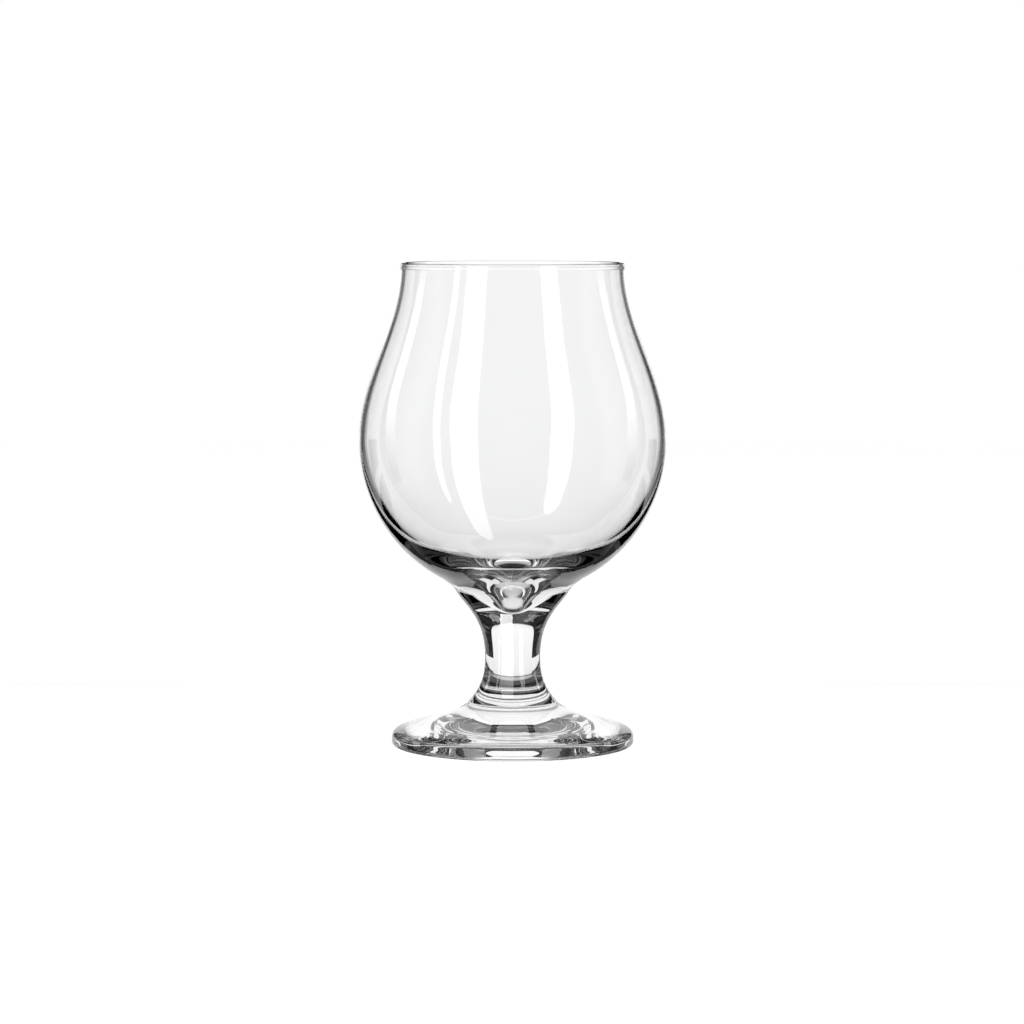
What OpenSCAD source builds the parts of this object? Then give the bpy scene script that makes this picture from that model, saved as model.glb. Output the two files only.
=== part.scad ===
// Stemmed tulip beer glass: a blown bowl, a short drawn stem and a pressed foot, joined hot.
// Origin in the middle of the ring that the glass stands on, +Z up, millimetres.

/* [Bowl] */
// Widest diameter of the bowl, outside
belly_d = 98.4; // [86:0.2:112]
// Diameter of the drawn-in neck under the lip, outside
neck_d = 71.8; // [60:0.2:80]
// Height from the joint with the stem up to the widest level
belly_rise = 54.8; // [46:0.2:64]
// Height from the widest level up to the top of the lip
neck_rise = 56.6; // [46:0.2:68]
// Wall at the neck
neck_wall = 1.7; // [1.2:0.05:2.6]
// Wall at the widest level
belly_wall = 1.85; // [1.2:0.05:3]
// Wall at the haunch, where the side of the cavity turns into its floor
haunch_wall = 5; // [3:0.1:7]
// Slope of the cavity at the haunch, degrees from level
haunch_slope = 20; // [12:1:30]
// Glass under the middle of the cavity, down to the joint with the stem
floor_t = 2.6; // [1.5:0.1:6]
// Height of the collar between the joint with the stem and the crease under the bowl
collar_h = 6; // [4:0.1:8]
// Diameter of the top of the collar, at the crease
collar_d = 36.2; // [30:0.2:42]
// Lean of the top of the collar, degrees from upright
collar_lean = 32; // [22:1:42]
// How far the fire-polished lip stands proud of the neck wall on each side
lip_swell = 0.22; // [0.05:0.01:0.6]

/* [Stem] */
// Height of the stem between its two joints
stem_h = 29.5; // [24:0.5:90]
// Diameter of the joint between stem and bowl
top_joint_d = 27.1; // [22:0.1:32]
// Lean of the stem's side at the bowl joint, degrees from upright
top_lean = 36; // [26:1:46]
// Diameter of the stem's waist
waist_d = 17.8; // [12:0.1:24]
// Height of the waist above the joint with the foot
waist_rise = 14; // [10:0.2:18]
// Lean of the stem's side at the foot joint, degrees from upright
foot_lean = 38; // [28:1:48]
// Diameter of the joint between stem and foot
foot_joint_d = 28.4; // [25:0.2:34]

/* [Foot] */
// Diameter of the foot
foot_d = 78; // [68:0.5:96]
// Height of the foot at its joint with the stem
foot_h = 14.2; // [11:0.1:18]
// Height at which the top of the foot starts to round over
shoulder_h = 6.8; // [5:0.1:8.5]
// Slope of the top of the foot where it starts to round over, degrees from level
shoulder_slope = 17; // [8:1:24]
// How far in from the rim of the foot the round-over starts
shoulder_in = 5.3; // [4:0.1:8]
// Height of the widest level of the foot
edge_h = 1.8; // [1:0.1:3]
// How far in from the rim of the foot the standing ring starts
ring_in = 2.4; // [1.4:0.1:4]
// Width of the flat ring that the glass stands on
ring_w = 4; // [2:0.1:8]
// Depth of the hollow in the underside
hollow_h = 2.6; // [1:0.1:4]

/* [Hidden] */
$fn = 120;
curve_steps = 16;
lip_steps = 10;
crease_steps = 6;
clear_glass = [0.9, 0.94, 0.95, 0.4];

// How strongly the bowl's side keeps upright at the neck and at the belly, of the neck's rise
neck_ease_share = 0.335;
belly_ease_share = 0.35;
// Depth of the round underside of the bowl, of the belly's rise
round_share = 0.9145;
// Radius at which the underside turns into the crease over the collar, of the belly's radius
crease_share = 0.496;
// Length of the tangents in the crease, of its chord
crease_ease_share = 0.333;
// Length of the collar's tangents at the joint and at the crease, of its height
collar_low_share = 0.452;
collar_high_share = 0.394;
// Place of the haunch on the underside, of the angle between belly and crease
haunch_share = 0.91;
// Fullness of the cavity's side at the belly, of its fall, and at the haunch, of its run
cavity_side_share = 0.48;
cavity_turn_share = 0.5;
// Fullness of the cavity's floor at the haunch and in the middle, of its radius
cavity_haunch_share = 0.9;
cavity_floor_share = 0.2;
// Length of the stem's tangents, of the height over which each half of the stem curves
top_ease_share = 0.271;
waist_up_share = 0.497;
waist_down_share = 0.6;
foot_ease_share = 0.17;
// Length of the foot's tangents at the stem, of the fall of its top, and at the shoulder, of its run
sweep_ease_share = 0.74;
shoulder_ease_share = 0.065;
// Fullness of the foot's round edge above and below its widest level
edge_run_share = 0.94;
edge_fall_share = 0.52;
under_fall_share = 0.9;
under_run_share = 0.52;
// Fullness of the hollow in the underside, of its radius
hollow_side_share = 0.25;
hollow_top_share = 0.5;

belly_r = belly_d / 2;
neck_r = neck_d / 2;
bowl_h = belly_rise + neck_rise;
round_h = belly_rise * round_share;
crease_angle = acos(crease_share);
lip_r = neck_wall / 2 + lip_swell;
lip_angle = acos(neck_wall / 2 / lip_r);
lip_mid = [neck_r - neck_wall / 2, bowl_h - lip_r];
lip_base = bowl_h - lip_r - lip_r * sin(lip_angle);
cavity_r = belly_r - belly_wall;
collar_r = collar_d / 2;
top_joint_r = top_joint_d / 2;
waist_r = waist_d / 2;
foot_joint_r = foot_joint_d / 2;
waist_drop = stem_h - waist_rise;
foot_r = foot_d / 2;
shoulder_r = foot_r - shoulder_in;
ring_r = foot_r - ring_in;
hollow_r = ring_r - ring_w;

// Points after the first of a curve that leaves a towards b and reaches d from c
function sweep(a, b, c, d, steps = curve_steps) = [
    for (i = [1:steps])
        let (t = i / steps, u = 1 - t)
        a * u * u * u + b * 3 * u * u * t + c * 3 * u * t * t + d * t * t * t
];

// Direction up and outwards at a lean from upright
function lean_dir(lean) = [sin(lean), cos(lean)];

// Point on the round underside of the bowl, at an angle below its widest level
function underside(angle) = [belly_r * cos(angle), belly_rise - round_h * sin(angle)];

// Direction into the glass, square to the round underside at an angle below the widest level
function inward(angle) =
    let (across = [-round_h * cos(angle), belly_r * sin(angle)])
    across / norm(across);

// Point on the lip, at an angle above its middle
function lip_point(angle) = lip_mid + lip_r * [cos(angle), sin(angle)];

// One side of the bowl between belly and neck, outside or inside
function bowl_side(low_r, high_r) = [
    [low_r, belly_rise],
    [low_r, belly_rise + neck_rise * belly_ease_share],
    [high_r, lip_base - neck_rise * neck_ease_share],
    [high_r, lip_base]
];

// Half section of the bowl: seat, collar, crease, underside, side, lip and cavity
function bowl_outline() =
    let (
        seat_edge = [top_joint_r, 0],
        collar_top = [collar_r, collar_h],
        crease_top = underside(crease_angle),
        crease_ease = norm(crease_top - collar_top) * crease_ease_share,
        crease_slope = [belly_r * sin(crease_angle), round_h * cos(crease_angle)],
        outside = bowl_side(belly_r, neck_r),
        inside = bowl_side(cavity_r, neck_r - neck_wall),
        haunch_angle = crease_angle * haunch_share,
        haunch = underside(haunch_angle) + haunch_wall * inward(haunch_angle),
        haunch_dir = [cos(haunch_slope), sin(haunch_slope)]
    )
    concat(
        [[0, 0], seat_edge],
        sweep(
            seat_edge,
            seat_edge + collar_h * collar_low_share * lean_dir(top_lean),
            collar_top - collar_h * collar_high_share * lean_dir(collar_lean),
            collar_top
        ),
        sweep(
            collar_top,
            collar_top + crease_ease * lean_dir(collar_lean),
            crease_top - crease_ease * crease_slope / norm(crease_slope),
            crease_top,
            crease_steps
        ),
        [for (i = [1:curve_steps]) underside(crease_angle * (1 - i / curve_steps))],
        sweep(outside[0], outside[1], outside[2], outside[3]),
        [for (i = [1:lip_steps]) lip_point(-lip_angle + (180 + 2 * lip_angle) * i / lip_steps)],
        sweep(inside[3], inside[2], inside[1], inside[0]),
        sweep(
            inside[0],
            inside[0] - [0, (belly_rise - haunch[1]) * cavity_side_share],
            haunch + (cavity_r - haunch[0]) * cavity_turn_share * haunch_dir,
            haunch
        ),
        sweep(
            haunch,
            haunch - haunch[0] * cavity_haunch_share * haunch_dir,
            [haunch[0] * cavity_floor_share, floor_t],
            [0, floor_t]
        )
    );

// Half section of the stem: foot joint, waist and bowl joint
function stem_outline() =
    let (
        low_edge = [foot_joint_r, 0],
        waist = [waist_r, waist_rise],
        high_edge = [top_joint_r, stem_h]
    )
    concat(
        [[0, 0], low_edge],
        sweep(
            low_edge,
            low_edge + waist_rise * foot_ease_share * lean_dir(-foot_lean),
            waist - [0, waist_rise * waist_down_share],
            waist
        ),
        sweep(
            waist,
            waist + [0, waist_drop * waist_up_share],
            high_edge - waist_drop * top_ease_share * lean_dir(top_lean),
            high_edge
        ),
        [[0, stem_h]]
    );

// Half section of the foot: stem joint, top, round edge, standing ring and hollow
function foot_outline() =
    let (
        joint_edge = [foot_joint_r, foot_h],
        shoulder = [shoulder_r, shoulder_h],
        slope_dir = [cos(shoulder_slope), -sin(shoulder_slope)],
        edge = [foot_r, edge_h]
    )
    concat(
        [[0, foot_h], joint_edge],
        sweep(
            joint_edge,
            joint_edge - (foot_h - shoulder_h) * sweep_ease_share * lean_dir(-foot_lean),
            shoulder - (shoulder_r - foot_joint_r) * shoulder_ease_share * slope_dir,
            shoulder
        ),
        sweep(
            shoulder,
            shoulder + shoulder_in * edge_run_share * slope_dir,
            edge + [0, (shoulder_h - edge_h) * edge_fall_share],
            edge
        ),
        sweep(
            edge,
            edge - [0, edge_h * under_fall_share],
            [ring_r + ring_in * under_run_share, 0],
            [ring_r, 0],
            crease_steps
        ),
        [[hollow_r, 0]],
        sweep(
            [hollow_r, 0],
            [hollow_r * (1 - hollow_side_share), hollow_h],
            [hollow_r * hollow_top_share, hollow_h],
            [0, hollow_h]
        )
    );

module bowl() {
    color(clear_glass)
        translate([0, 0, foot_h + stem_h])
            rotate_extrude()
                polygon(bowl_outline());
}

module stem() {
    color(clear_glass)
        translate([0, 0, foot_h])
            rotate_extrude()
                polygon(stem_outline());
}

module foot() {
    color(clear_glass)
        rotate_extrude()
            polygon(foot_outline());
}

bowl();
stem();
foot();
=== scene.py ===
import math

import bmesh
import bpy
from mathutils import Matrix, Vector


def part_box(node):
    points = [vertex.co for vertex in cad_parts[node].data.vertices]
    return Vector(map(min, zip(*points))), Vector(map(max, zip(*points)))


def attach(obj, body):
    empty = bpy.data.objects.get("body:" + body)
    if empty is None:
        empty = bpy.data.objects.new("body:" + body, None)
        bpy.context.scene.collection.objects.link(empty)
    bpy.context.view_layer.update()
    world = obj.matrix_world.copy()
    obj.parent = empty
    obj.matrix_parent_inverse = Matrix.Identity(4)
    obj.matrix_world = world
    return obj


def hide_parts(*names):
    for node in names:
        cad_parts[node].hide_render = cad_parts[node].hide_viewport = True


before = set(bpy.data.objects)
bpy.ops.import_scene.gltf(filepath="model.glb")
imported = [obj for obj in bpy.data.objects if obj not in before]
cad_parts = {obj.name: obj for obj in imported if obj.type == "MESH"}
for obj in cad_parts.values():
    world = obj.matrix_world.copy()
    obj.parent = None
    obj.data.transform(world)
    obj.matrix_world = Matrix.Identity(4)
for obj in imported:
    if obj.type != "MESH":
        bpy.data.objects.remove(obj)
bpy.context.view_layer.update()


class Plug:
    # an output of a node tree; sums and products of plugs add their Math nodes
    def __init__(self, tree, socket=None):
        self.tree = tree
        self.socket = socket

    def node(self, kind, settings=None, inputs=None, output=0):
        made = self.tree.nodes.new(kind)
        for key, value in (settings or {}).items():
            setattr(made, key, value)
        for key, value in (inputs or {}).items():
            if isinstance(value, Plug):
                self.tree.links.new(value.socket, made.inputs[key])
            else:
                made.inputs[key].default_value = value
        return Plug(self.tree, made.outputs[output] if made.outputs else None)

    def beside(self, name):
        # another output of the same node
        return Plug(self.tree, self.socket.node.outputs[name])

    def axes(self):
        across = self.node("ShaderNodeSeparateXYZ", None, {0: self})
        return across, across.beside("Y"), across.beside("Z")

    def math(self, operation, first, second=0.0):
        return self.node("ShaderNodeMath", {"operation": operation}, {0: first, 1: second})

    def __add__(self, other):
        return self.math("ADD", self, other)

    def __sub__(self, other):
        return self.math("SUBTRACT", self, other)

    def __rsub__(self, other):
        return self.math("SUBTRACT", other, self)

    def __mul__(self, other):
        return self.math("MULTIPLY", self, other)

    def __truediv__(self, other):
        return self.math("DIVIDE", self, other)

    __radd__ = __add__
    __rmul__ = __mul__


def cadRadius(node, height=None, slack=1e-5):
    # widest radius of a CAD node, at one height or anywhere
    return max(
        math.hypot(vertex.co.x, vertex.co.y)
        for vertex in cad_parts[node].data.vertices
        if height is None or abs(vertex.co.z - height) < slack
    )


# lathe: an outline of smooth curves, turned about the glass's axis by Geometry Nodes

latheDetail = {"curvePoints": 96, "mergeDistance": 1e-6, "sharpAngle": math.radians(50)}


def steer(point, lean, length):
    # the point a length away, up and outwards at a lean from upright
    radius, height = point
    return radius + math.sin(lean) * length, height + math.cos(lean) * length


def arcReach(angle):
    # handle length of a Bezier curve that follows an arc, as a share of its radius
    return 4 / 3 * math.tan(angle / 4)


def latheTree(name, sizes, outline, caps):
    tree = bpy.data.node_groups.new(name, "GeometryNodeTree")
    sockets = tree.interface
    sockets.new_socket("Geometry", in_out="OUTPUT", socket_type="NodeSocketGeometry")
    for size in sizes:
        sockets.new_socket(size, in_out="INPUT", socket_type="NodeSocketFloat")
    for count in ("rows", "around"):
        sockets.new_socket(count, in_out="INPUT", socket_type="NodeSocketInt")
    for finish in ("skin", "joint"):
        sockets.new_socket(finish, in_out="INPUT", socket_type="NodeSocketMaterial")
    given = tree.nodes.new("NodeGroupInput")
    size = {socket.name: Plug(tree, socket) for socket in given.outputs if socket.name}
    start = Plug(tree)

    def place(point):
        return start.node("ShaderNodeCombineXYZ", None, {"X": point[0], "Z": point[1]})

    def joined(parts):
        join = tree.nodes.new("GeometryNodeJoinGeometry")
        for part in reversed(parts):  # the last link comes first
            tree.links.new(part.socket, join.inputs[0])
        return Plug(tree, join.outputs[0])

    def finished(part, finish):
        return start.node("GeometryNodeSetMaterial", None, {"Geometry": part, "Material": size[finish]})

    ends = ("Start", "Start Handle", "End Handle", "End")
    curves = [
        start.node(
            "GeometryNodeCurvePrimitiveBezierSegment",
            None,
            {
                "Resolution": latheDetail["curvePoints"],
                **{end: place(point) for end, point in zip(ends, points)},
            },
        )
        for points in outline(size)
    ]
    grid = start.node(
        "GeometryNodeMeshGrid",
        None,
        {"Vertices X": size["around"] + 1, "Vertices Y": size["rows"] * len(curves) + 1},
    )
    turn, along = grid.beside("UV Map").axes()[:2]
    reach = along * len(curves)
    lastReach = len(curves) - 0.001  # short of the end, so that the last row stays on the last curve
    curveIndex = start.math("FLOOR", start.math("MINIMUM", reach, lastReach))
    onCurve = start.node(
        "GeometryNodeSampleCurve",
        None,
        {"Curves": joined(curves), "Factor": reach - curveIndex, "Curve Index": curveIndex},
        "Position",
    )
    radius, height = onCurve.axes()[::2]
    angle = turn * math.tau
    ring = start.node(
        "ShaderNodeCombineXYZ",
        None,
        {
            "X": radius * angle.math("COSINE", angle),
            "Y": radius * angle.math("SINE", angle),
            "Z": height,
        },
    )
    shell = start.node("GeometryNodeSetPosition", None, {"Geometry": grid, "Position": ring})
    parts = [finished(shell, "skin")]
    for capRadius, capHeight in caps(size):
        disc = start.node(
            "GeometryNodeMeshCircle",
            {"fill_type": "TRIANGLE_FAN"},
            {"Vertices": size["around"], "Radius": capRadius},
        )
        cap = start.node(
            "GeometryNodeTransform", None, {"Geometry": disc, "Translation": place((0.0, capHeight))}
        )
        parts.append(finished(cap, "joint"))
    closed = start.node(
        "GeometryNodeMergeByDistance",
        None,
        {"Geometry": joined(parts), "Distance": latheDetail["mergeDistance"]},
    )
    smooth = start.node("GeometryNodeSetShadeSmooth", None, {"Geometry": closed})
    plain = start.node("GeometryNodeRealizeInstances", None, {"Geometry": smooth})
    start.node("NodeGroupOutput", None, {0: plain})
    return tree


def edgeUse(mesh):
    use = {}
    for face in mesh.polygons:
        for key in face.edge_keys:
            use[key] = use.get(key, 0) + 1
    return use


def lathePiece(name, values, outline, caps):
    numbers = [key for key, value in values.items() if isinstance(value, float)]
    tree = latheTree(name + "Lathe", numbers, outline, caps)
    piece = bpy.data.objects.new(name, bpy.data.meshes.new(name + "Seed"))
    bpy.context.scene.collection.objects.link(piece)
    lathe = piece.modifiers.new("lathe", "NODES")
    lathe.node_group = tree
    for item in tree.interface.items_tree:
        if item.in_out == "INPUT":
            lathe[item.identifier] = values[item.name]
    bpy.context.view_layer.update()
    turned = piece.evaluated_get(bpy.context.evaluated_depsgraph_get())
    mesh = bpy.data.meshes.new_from_object(turned)
    piece.modifiers.remove(lathe)
    piece.data = mesh
    mesh.name = name
    work = bmesh.new()
    work.from_mesh(mesh)
    bmesh.ops.recalc_face_normals(work, faces=work.faces)
    work.to_mesh(mesh)
    work.free()
    mesh.set_sharp_from_angle(angle=latheDetail["sharpAngle"])
    openEdges = sum(1 for count in edgeUse(mesh).values() if count != 2)
    print(f"{name}: {len(mesh.polygons)} faces, {openEdges} open edges")
    return piece


# glass finishes

white = (1.0, 1.0, 1.0, 1.0)
glassLook = {
    "tint": (0.99, 0.995, 0.992),
    "ior": 1.52,
    "grain": (1.0, 1.0, 1.0),
    "rippleScale": 45.0,
    "rippleDetail": 1.0,
    "rippleHeight": 0.00002,
    "scuffHeight": 0.0003,
    "scuffScale": 260.0,
    "scuffDetail": 4.0,
    "scuffRoughness": 0.35,
}
# drawn glass has fine lines along it, pressed glass a closer and shallower ripple
drawnLook = {**glassLook, "grain": (1.0, 1.0, 0.08), "rippleScale": 260.0, "rippleHeight": 0.000003}
pressedLook = {**glassLook, "rippleScale": 110.0, "rippleHeight": 0.000006}


def newMaterial(name, surface):
    material = bpy.data.materials.new(name)
    material.use_nodes = True
    material.node_tree.nodes.clear()
    start = Plug(material.node_tree)
    start.node("ShaderNodeOutputMaterial", None, {"Surface": surface(start)})
    return material


def objectSpot(start):
    return start.node("ShaderNodeTexCoord", None, None, "Object")


def clearGlass(name, look):
    def surface(start):
        spot = objectSpot(start)
        drawn = start.node("ShaderNodeMapping", None, {"Vector": spot, "Scale": look["grain"]})
        ripple = start.node(
            "ShaderNodeTexNoise",
            None,
            {"Vector": drawn, "Scale": look["rippleScale"], "Detail": look["rippleDetail"]},
        )
        normal = start.node(
            "ShaderNodeBump",
            None,
            {"Height": ripple, "Distance": look["rippleHeight"], "Strength": 1.0},
        )
        return start.node(
            "ShaderNodeBsdfPrincipled",
            None,
            {
                "Base Color": (*look["tint"], 1.0),
                "Roughness": scuffed(start, spot, look),
                "IOR": look["ior"],
                "Transmission Weight": 1.0,
                "Normal": normal,
            },
        )

    return newMaterial(name, surface)


def scuffed(start, spot, look):
    # patchy wear on what touches the table, nothing above it
    touching = start.math("LESS_THAN", spot.axes()[2], look["scuffHeight"])
    patches = start.node(
        "ShaderNodeTexNoise",
        None,
        {"Vector": spot, "Scale": look["scuffScale"], "Detail": look["scuffDetail"]},
    )
    return touching * patches * look["scuffRoughness"]


def seeThrough(start):
    return start.node("ShaderNodeBsdfTransparent", None, {"Color": white})


# where two gathers ran together there is no surface left to see
jointGlass = newMaterial("jointGlass", seeThrough)

# bowl

bowlLow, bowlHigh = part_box("bowl")
bowlShape = {
    "seatHeight": bowlLow.z,
    "seatRadius": cadRadius("bowl", bowlLow.z),
    "collarHeight": bowlLow.z + 0.006,
    "collarRadius": 0.0181,
    "bellyHeight": bowlLow.z + 0.0548,
    "bellyRadius": cadRadius("bowl"),
    "bellyWall": 0.00185,
    "neckRadius": 0.0359,
    "neckWall": 0.0017,
    "lipHeight": bowlHigh.z,
    "haunchWall": 0.005,
    "floorHeight": bowlLow.z + 0.0026,
    "rows": 40,
    "around": 200,
    "skin": clearGlass("bowlGlass", glassLook),
    "joint": jointGlass,
    "curve": {
        "seatLean": math.radians(36),
        "collarLean": math.radians(32),
        "collarLowShare": 0.452,
        "collarHighShare": 0.394,
        "creaseShare": 0.496,
        "creaseEaseShare": 0.333,
        "roundShare": 0.9145,
        "bellyEaseShare": 0.35,
        "neckEaseShare": 0.335,
        "lipTurn": math.radians(12),
        "haunchShare": 0.91,
        "haunchSlope": math.radians(20),
        "cavitySideShare": 0.48,
        "cavityTurnShare": 0.5,
        "cavityHaunchShare": 0.9,
        "cavityFloorShare": 0.2,
    },
}


def bowlOutline(size):
    curve = bowlShape["curve"]
    bellyR, bellyZ = size["bellyRadius"], size["bellyHeight"]
    roundH = (bellyZ - size["seatHeight"]) * curve["roundShare"]

    def underside(angle):
        return bellyR * math.cos(angle), bellyZ - roundH * math.sin(angle)

    seat = (size["seatRadius"], size["seatHeight"])
    collarTop = (size["collarRadius"], size["collarHeight"])
    collarH = size["collarHeight"] - size["seatHeight"]
    creaseAngle = math.acos(curve["creaseShare"])
    creaseTop = underside(creaseAngle)
    creaseRun, creaseRise = creaseTop[0] - collarTop[0], creaseTop[1] - collarTop[1]
    creaseChord = bellyR.math("SQRT", creaseRun * creaseRun + creaseRise * creaseRise)
    creaseEase = creaseChord * curve["creaseEaseShare"]
    roundReach = arcReach(creaseAngle)
    lipTurn = curve["lipTurn"]
    lipR = size["neckWall"] * (0.5 / math.cos(lipTurn))
    lipMid = size["neckRadius"] - size["neckWall"] * 0.5
    lipZ = size["lipHeight"]
    lipBase = lipZ - lipR * (1 + math.sin(lipTurn))
    lipEase = lipR * arcReach(math.pi / 2 + lipTurn)
    neckRise = lipZ - bellyZ
    cavityR = bellyR - size["bellyWall"]
    innerNeck = size["neckRadius"] - size["neckWall"]
    haunchAngle = creaseAngle * curve["haunchShare"]
    haunch = steer(underside(haunchAngle), haunchAngle - math.pi / 2, size["haunchWall"])
    haunchLean = math.pi / 2 - curve["haunchSlope"]

    def side(low, high):
        return (
            (low, bellyZ),
            (low, bellyZ + neckRise * curve["bellyEaseShare"]),
            (high, lipBase - neckRise * curve["neckEaseShare"]),
            (high, lipBase),
        )

    outerLip, innerLip = (size["neckRadius"], lipBase), (innerNeck, lipBase)
    return [
        (
            seat,
            steer(seat, curve["seatLean"], collarH * curve["collarLowShare"]),
            steer(collarTop, curve["collarLean"], collarH * -curve["collarHighShare"]),
            collarTop,
        ),
        (
            collarTop,
            steer(collarTop, curve["collarLean"], creaseEase),
            steer(creaseTop, creaseAngle, creaseEase * -1.0),
            creaseTop,
        ),
        (
            creaseTop,
            steer(creaseTop, creaseAngle, bellyR * roundReach),
            (bellyR, bellyZ - roundH * roundReach),
            (bellyR, bellyZ),
        ),
        side(bellyR, size["neckRadius"]),
        (outerLip, steer(outerLip, lipTurn, lipEase), (lipMid + lipEase, lipZ), (lipMid, lipZ)),
        ((lipMid, lipZ), (lipMid - lipEase, lipZ), steer(innerLip, -lipTurn, lipEase), innerLip),
        tuple(reversed(side(cavityR, innerNeck))),
        (
            (cavityR, bellyZ),
            (cavityR, bellyZ - (bellyZ - haunch[1]) * curve["cavitySideShare"]),
            steer(haunch, haunchLean, (cavityR - haunch[0]) * curve["cavityTurnShare"]),
            haunch,
        ),
        (
            haunch,
            steer(haunch, haunchLean, haunch[0] * -curve["cavityHaunchShare"]),
            (haunch[0] * curve["cavityFloorShare"], size["floorHeight"]),
            (0.0, size["floorHeight"]),
        ),
    ]


bowl = lathePiece(
    "tulipBowl", bowlShape, bowlOutline, lambda size: [(size["seatRadius"], size["seatHeight"])]
)

# stem

stemLow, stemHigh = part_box("stem")
stemShape = {
    "lowHeight": stemLow.z,
    "lowRadius": cadRadius("stem", stemLow.z),
    "waistHeight": stemLow.z + 0.014,
    "waistRadius": 0.0089,
    "highHeight": stemHigh.z,
    "highRadius": cadRadius("stem", stemHigh.z),
    "rows": 60,
    "around": 200,
    "skin": clearGlass("stemGlass", drawnLook),
    "joint": jointGlass,
    "curve": {
        "lowLean": math.radians(38),
        "lowEaseShare": 0.17,
        "waistDownShare": 0.6,
        "waistUpShare": 0.497,
        "highEaseShare": 0.271,
        "highLean": bowlShape["curve"]["seatLean"],
    },
}


def stemOutline(size):
    curve = stemShape["curve"]
    low = (size["lowRadius"], size["lowHeight"])
    high = (size["highRadius"], size["highHeight"])
    waist = (size["waistRadius"], size["waistHeight"])
    below = size["waistHeight"] - size["lowHeight"]
    above = size["highHeight"] - size["waistHeight"]
    return [
        (
            low,
            steer(low, -curve["lowLean"], below * curve["lowEaseShare"]),
            (waist[0], waist[1] - below * curve["waistDownShare"]),
            waist,
        ),
        (
            waist,
            (waist[0], waist[1] + above * curve["waistUpShare"]),
            steer(high, curve["highLean"], above * -curve["highEaseShare"]),
            high,
        ),
    ]


stem = lathePiece(
    "waistedStem",
    stemShape,
    stemOutline,
    lambda size: [(size["lowRadius"], size["lowHeight"]), (size["highRadius"], size["highHeight"])],
)

# foot

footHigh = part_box("foot")[1]
footShape = {
    "jointHeight": footHigh.z,
    "jointRadius": cadRadius("foot", footHigh.z),
    "footRadius": cadRadius("foot"),
    "shoulderHeight": 0.0068,
    "shoulderIn": 0.0053,
    "edgeHeight": 0.0018,
    "ringIn": 0.0024,
    "ringWidth": 0.004,
    "hollowHeight": 0.0026,
    "rows": 48,
    "around": 200,
    "skin": clearGlass("footGlass", pressedLook),
    "joint": jointGlass,
    "curve": {
        "jointLean": stemShape["curve"]["lowLean"],
        "shoulderSlope": math.radians(17),
        "sweepEaseShare": 0.74,
        "shoulderEaseShare": 0.065,
        "edgeRunShare": 0.94,
        "edgeFallShare": 0.52,
        "underFallShare": 0.9,
        "underRunShare": 0.52,
        "hollowSideShare": 0.25,
        "hollowTopShare": 0.5,
    },
}


def footOutline(size):
    curve = footShape["curve"]
    joint = (size["jointRadius"], size["jointHeight"])
    footR = size["footRadius"]
    shoulder = (footR - size["shoulderIn"], size["shoulderHeight"])
    edge = (footR, size["edgeHeight"])
    ringR = footR - size["ringIn"]
    hollowR = ringR - size["ringWidth"]
    fall = size["jointHeight"] - size["shoulderHeight"]
    run = shoulder[0] - size["jointRadius"]
    slopeLean = math.pi / 2 - curve["shoulderSlope"]
    hollowH = size["hollowHeight"]
    edgeFall = size["shoulderHeight"] - size["edgeHeight"]
    return [
        (
            joint,
            steer(joint, math.pi - curve["jointLean"], fall * curve["sweepEaseShare"]),
            steer(shoulder, -slopeLean, run * curve["shoulderEaseShare"]),
            shoulder,
        ),
        (
            shoulder,
            steer(shoulder, math.pi - slopeLean, size["shoulderIn"] * curve["edgeRunShare"]),
            (footR, edge[1] + edgeFall * curve["edgeFallShare"]),
            edge,
        ),
        (
            edge,
            (footR, size["edgeHeight"] * (1 - curve["underFallShare"])),
            (ringR + size["ringIn"] * curve["underRunShare"], 0.0),
            (ringR, 0.0),
        ),
        (
            (ringR, 0.0),
            (ringR - size["ringWidth"] / 3, 0.0),
            (hollowR + size["ringWidth"] / 3, 0.0),
            (hollowR, 0.0),
        ),
        (
            (hollowR, 0.0),
            (hollowR * (1 - curve["hollowSideShare"]), hollowH),
            (hollowR * curve["hollowTopShare"], hollowH),
            (0.0, hollowH),
        ),
    ]


foot = lathePiece(
    "roundFoot", footShape, footOutline, lambda size: [(size["jointRadius"], size["jointHeight"])]
)

for piece, node in ((bowl, "bowl"), (stem, "stem"), (foot, "foot")):
    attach(piece, "root")
    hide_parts(node)
print("glass pieces placed")

# camera at the photograph's viewing angle

view = {
    "distance": 1.215,
    "height": 0.177,
    "aimHeight": 0.0752,
    "side": -0.0002,
    "lens": 133.6,
    "sensor": 36.0,
}
camera = bpy.data.objects.new("camera", bpy.data.cameras.new("camera"))
bpy.context.scene.collection.objects.link(camera)
camera.location = (view["side"], -view["distance"], view["height"])
aim = Vector((view["side"], 0.0, view["aimHeight"]))
camera.rotation_euler = (aim - camera.location).to_track_quat("-Z", "Y").to_euler()
camera.data.lens = view["lens"]
camera.data.sensor_width = view["sensor"]
bpy.context.scene.camera = camera
print("camera placed")

# studio rig: clear glass shows what stands round it, so the lights turn with the camera

rig = bpy.data.objects.new("studioRig", None)
bpy.context.scene.collection.objects.link(rig)
rig.location = aim
rig.constraints.new("COPY_ROTATION").target = camera
bpy.context.view_layer.update()


def onRig(thing, material, inGlass=True, only=None):
    # a light that isn't in the glass shows on its outer surface alone; only: the pieces that it lights
    thing.data.materials.append(material)
    thing.visible_camera = False
    thing.visible_transmission = inGlass
    if only:
        lit = bpy.data.collections.new(thing.name + "Lit")
        for piece in only:
            lit.objects.link(piece)
        thing.light_linking.receiver_collection = lit
    thing.parent = rig
    thing.matrix_parent_inverse = rig.matrix_world.inverted()


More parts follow.
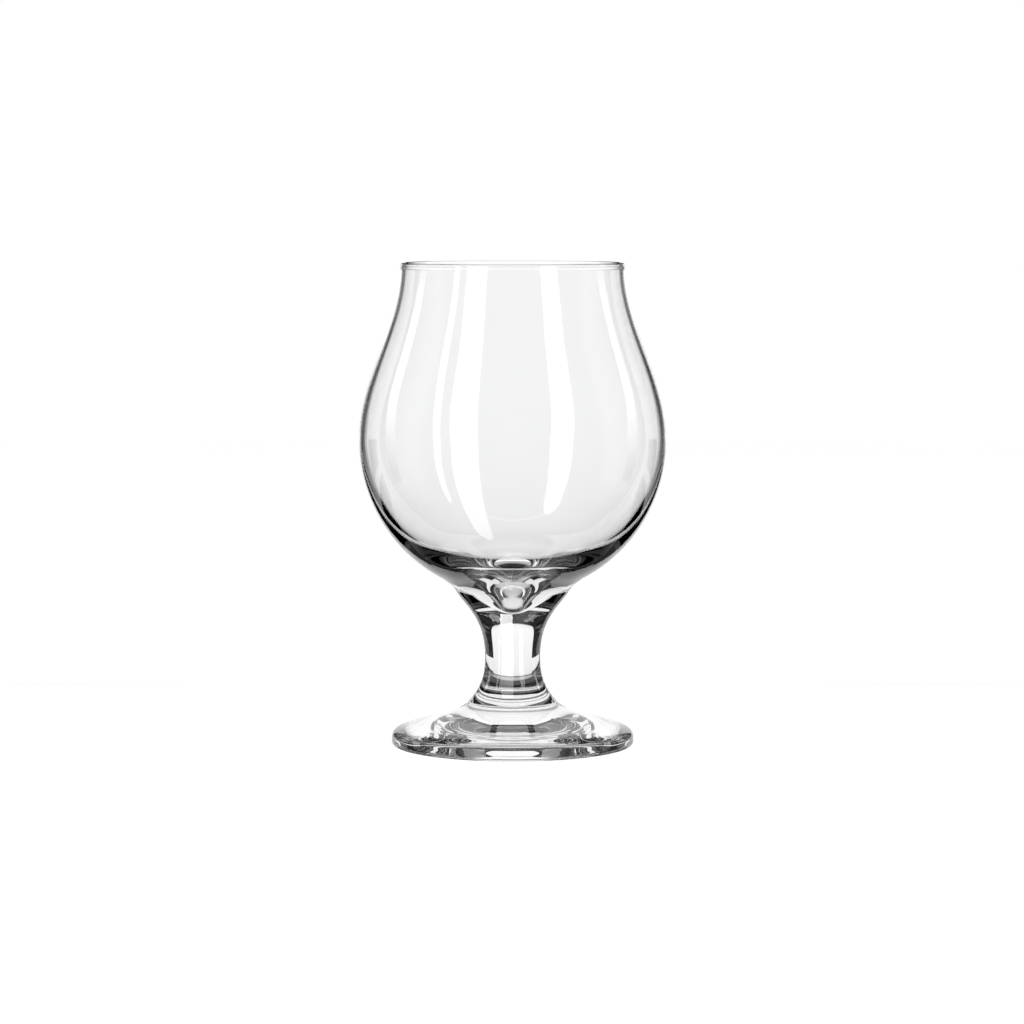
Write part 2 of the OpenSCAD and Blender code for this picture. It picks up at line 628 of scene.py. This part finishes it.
def newCard(name, points, faces):
    mesh = bpy.data.meshes.new(name)
    mesh.from_pydata(points, [], faces)
    card = bpy.data.objects.new(name, mesh)
    bpy.context.scene.collection.objects.link(card)
    return card


def turnedPoint(azimuth, radius, height):
    # azimuth in degrees from the camera's side of the glass
    turn = math.radians(azimuth)
    return radius * math.sin(turn), -radius * math.cos(turn), height


def glowing(name, strength, clear=False):
    # a lit surface; a clear one only adds its light to what is behind it
    def surface(start):
        glow = start.node("ShaderNodeEmission", None, {"Strength": strength(start)})
        if not clear:
            return glow
        return start.node("ShaderNodeAddShader", None, {0: glow, 1: seeThrough(start)})

    return newMaterial(name, surface)


def window(start, value, low, high, soft):
    # one between low and high, falling to nothing over a soft edge
    def step(middle):
        return start.node(
            "ShaderNodeMapRange",
            {"interpolation_type": "SMOOTHSTEP"},
            {"Value": value, "From Min": middle - soft, "From Max": middle + soft},
        )

    return step(low) * (1 - step(high))


def ramp(start, low, high, lowLevel, highLevel):
    # level along the height of a card, steady beyond both ends
    rise = objectSpot(start).axes()[2]
    ends = {"From Min": low, "From Max": high, "To Min": lowLevel, "To Max": highLevel}
    return start.node("ShaderNodeMapRange", None, {"Value": rise, **ends})


# domes: a dark room, a little lighter on the camera's side, and pale walls that only the bowl mirrors

domes = {
    "segments": 64,
    "rings": 32,
    "roomRadius": 5.0,
    "roomLevel": 0.02,
    "frontLevel": 0.08,
    "frontHalf": 75,
    "frontSoft": 15,
    "wallRadius": 4.6,
    "wallLevel": 1.0,
    "wallNear": 72,
    "wallFar": 148,
    "wallSoft": 8,
    "wallLow": -0.62,  # the walls' light starts here, as a share of their radius
    "wallHigh": -0.34,
}


def fromFront(start):
    # degrees round the glass from the side that faces the camera
    across, depth = objectSpot(start).axes()[:2]
    return start.math("ARCTAN2", across, depth * -1.0) * math.degrees(1)


def roomStrength(start):
    half = domes["frontHalf"]
    front = window(start, fromFront(start), -half, half, domes["frontSoft"])
    return domes["roomLevel"] + front * domes["frontLevel"]


def wallStrength(start):
    turn = start.math("ABSOLUTE", fromFront(start))
    beside = window(start, turn, domes["wallNear"], domes["wallFar"], domes["wallSoft"])
    low, high = domes["wallRadius"] * domes["wallLow"], domes["wallRadius"] * domes["wallHigh"]
    return beside * ramp(start, low, high, 0.0, domes["wallLevel"])


def newDome(name, radius):
    bpy.ops.mesh.primitive_uv_sphere_add(
        segments=domes["segments"], ring_count=domes["rings"], radius=radius, location=aim
    )
    bpy.context.object.name = name
    return bpy.context.object


def darkRoom():
    onRig(newDome("lightDome", domes["roomRadius"]), glowing("domeLight", roomStrength))
    walls = newDome("sideDome", domes["wallRadius"])
    onRig(walls, glowing("mirrorLight", wallStrength), inGlass=False, only=(bowl,))


# white panel close behind the glass, with cards below and beside it that light some pieces only

panel = {
    "away": 0.15,
    "half": 0.092,
    "low": -0.06,
    "top": 0.175,
    "level": 1.07,
    "footShare": 0.85,  # level at the foot of the panel, as a share
    "fullHeight": 0.1,
    "apronHalf": 0.1,
    "apronLow": -0.4,
    "skirtFar": 0.35,
    "skirtTop": 0.006,
    "flankNear": 0.2,
    "flankFar": 0.32,
    "flankLow": 0.03,
    "flankTop": 0.09,
}


def panelStrength(start):
    level = panel["level"]
    return ramp(start, panel["low"], panel["fullHeight"], level * panel["footShare"], level)


def uprightCard(name, near, far, low, top):
    away = panel["away"]
    corners = [(near, away, low), (far, away, low), (far, away, top), (near, away, top)]
    return newCard(name, corners, [range(4)])


def whitePanel():
    panelLight = glowing("panelLight", panelStrength)
    half, low = panel["half"], panel["low"]
    onRig(uprightCard("backPanel", -half, half, low, panel["top"]), panelLight)
    side = panel["apronHalf"]
    apron = uprightCard("apron", -side, side, panel["apronLow"], low)
    onRig(apron, panelLight, only=(bowl, stem))
    for name, turn in (("Left", -1), ("Right", 1)):
        near, far = turn * half, turn * panel["skirtFar"]
        skirt = uprightCard("skirt" + name, near, far, low, panel["skirtTop"])
        onRig(skirt, panelLight, only=(stem, foot))
        near, far = turn * panel["flankNear"], turn * panel["flankFar"]
        flank = uprightCard("flank" + name, near, far, panel["flankLow"], panel["flankTop"])
        onRig(flank, panelLight, only=(foot,))


# strip lights in front, and fading ones at the sides

stripLights = {
    "away": 2.0,
    "height": 0.1,
    "level": 3.5,
    "outerFade": 0.5,
    # rows from low to high: elevation, left and right azimuth
    "front": {
        "wideLeft": [
            (-70, -44, -34),
            (-63, -50, -29),
            (-50, -47, -27),
            (-30, -46, -25),
            (0, -46, -25),
            (22, -50, -27),
            (37, -53, -29),
        ],
        "wideRight": [
            (-49, 33, 38),
            (-46, 30, 41),
            (-42, 28, 43),
            (-18, 27, 44),
            (0, 27, 45),
            (22, 30, 49),
            (37, 32, 52),
        ],
        "thinLeft": [
            (-38, -58, -55),
            (-31, -59, -54),
            (0, -60, -54),
            (20, -64, -57),
            (33, -70, -62),
        ],
    },
    "outer": {
        "outerLeft": [(-20, -106, -96), (2, -108, -97), (23, -118, -105)],
        "outerRight": [(-20, 94, 104), (3, 94, 106), (24, 104, 115)],
    },
}


def outerStrength(start):
    middle, fade = stripLights["height"], stripLights["outerFade"]
    return ramp(start, middle - fade, middle + fade, 0.0, stripLights["level"])


def stripCard(name, rows, away):
    points = []
    for elevation, *sides in rows:
        rise = math.radians(elevation)
        radius, height = away * math.cos(rise), away * math.sin(rise) + stripLights["height"]
        points += [turnedPoint(side, radius, height) for side in sides]
    faces = [(low, low + 1, low + 3, low + 2) for low in range(0, len(points) - 2, 2)]
    return newCard(name, points, faces)


def standStrips():
    frontLight = glowing("stripLight", lambda start: stripLights["level"])
    outerLight = glowing("outerLight", outerStrength)
    for group, light in (("front", frontLight), ("outer", outerLight)):
        for name, rows in stripLights[group].items():
            onRig(stripCard(name, rows, stripLights["away"]), light, inGlass=False)


# the stem's own highlight, and the part of it that comes up from over the foot

glint = {
    "away": 4.0,
    "lowLevel": 19.0,
    "highLevel": 4.0,
    "fade": 1.0,
    "rows": [(-60, -46, 3), (0, -46, 3), (60, -46, 3)],
    "footLevel": 15.0,
    # azimuth, radius and height of each corner
    "footCorners": [(-44, 0.016, 0.0145), (0, 0.016, 0.0145), (0, 0.038, 0.0075), (-44, 0.038, 0.0075)],
}


def glintStrength(start):
    return ramp(start, -glint["fade"], glint["fade"], glint["lowLevel"], glint["highLevel"])


def stemHighlight():
    strip = stripCard("stemGlint", glint["rows"], glint["away"])
    onRig(strip, glowing("glintLight", glintStrength), inGlass=False, only=(stem,))
    footLight = glowing("footGlintLight", lambda start: glint["footLevel"], clear=True)
    corners = [turnedPoint(*corner) for corner in glint["footCorners"]]
    onRig(newCard("footGlint", corners, [range(4)]), footLight, inGlass=False, only=(stem,))


# table of pale paper, and the ring of light that the foot gathers on it, seen only through the glass

table = {
    "radius": 1.5,
    "around": 96,
    "drop": 0.0002,
    "seen": 0.963,
    "paint": 0.45,
    "ringInner": 0.018,
    "ringOuter": 0.032,
    "ringSoft": 0.003,
    "ringAround": 64,
    "ringLevel": 0.45,
}


def ringStrength(start):
    spot = objectSpot(start)
    radius = start.node("ShaderNodeVectorMath", {"operation": "LENGTH"}, {0: spot}, "Value")
    lit = window(start, radius, table["ringInner"], table["ringOuter"], table["ringSoft"])
    return lit * table["ringLevel"]


def cameraSees(start):
    return start.node("ShaderNodeLightPath", None, None, "Is Camera Ray")


def palePaper(start):
    glow = start.node("ShaderNodeEmission", None, {"Strength": cameraSees(start) * table["seen"]})
    paint = start.node("ShaderNodeBsdfDiffuse", None, {"Color": (*[table["paint"]] * 3, 1.0)})
    return start.node("ShaderNodeAddShader", None, {0: glow, 1: paint})


def flatDisc(name, radius, around, height, material, hiddenFrom):
    bpy.ops.mesh.primitive_circle_add(
        vertices=around, radius=radius, fill_type="NGON", location=(0, 0, height)
    )
    disc = bpy.context.object
    disc.name = name
    disc.data.materials.append(material)
    for ray in hiddenFrom:
        setattr(disc, "visible_" + ray, False)


def paleTable():
    flatDisc(
        "gatheredLight",
        table["ringOuter"] + table["ringSoft"],
        table["ringAround"],
        -table["drop"] / 2,
        glowing("ringLight", ringStrength, clear=True),
        ("camera", "glossy", "diffuse", "shadow"),
    )
    flatDisc(
        "floor",
        table["radius"],
        table["around"],
        -table["drop"],
        newMaterial("palePaper", palePaper),
        ("glossy", "transmission"),
    )


def whiteSurround():
    world = bpy.data.worlds.new("studioWorld")
    bpy.context.scene.world = world
    world.use_nodes = True
    world.node_tree.nodes.clear()
    start = Plug(world.node_tree)
    sky = start.node("ShaderNodeBackground", None, {"Color": white, "Strength": cameraSees(start)})
    start.node("ShaderNodeOutputWorld", None, {"Surface": sky})


darkRoom()
whitePanel()
standStrips()
stemHighlight()
paleTable()
whiteSurround()
bpy.context.scene.view_settings.view_transform = "Standard"
bpy.context.scene.cycles.max_bounces = 24
bpy.context.scene.cycles.transmission_bounces = 24
bpy.context.scene.cycles.glossy_bounces = 16
bpy.context.scene.cycles.transparent_max_bounces = 16
print("studio ready")
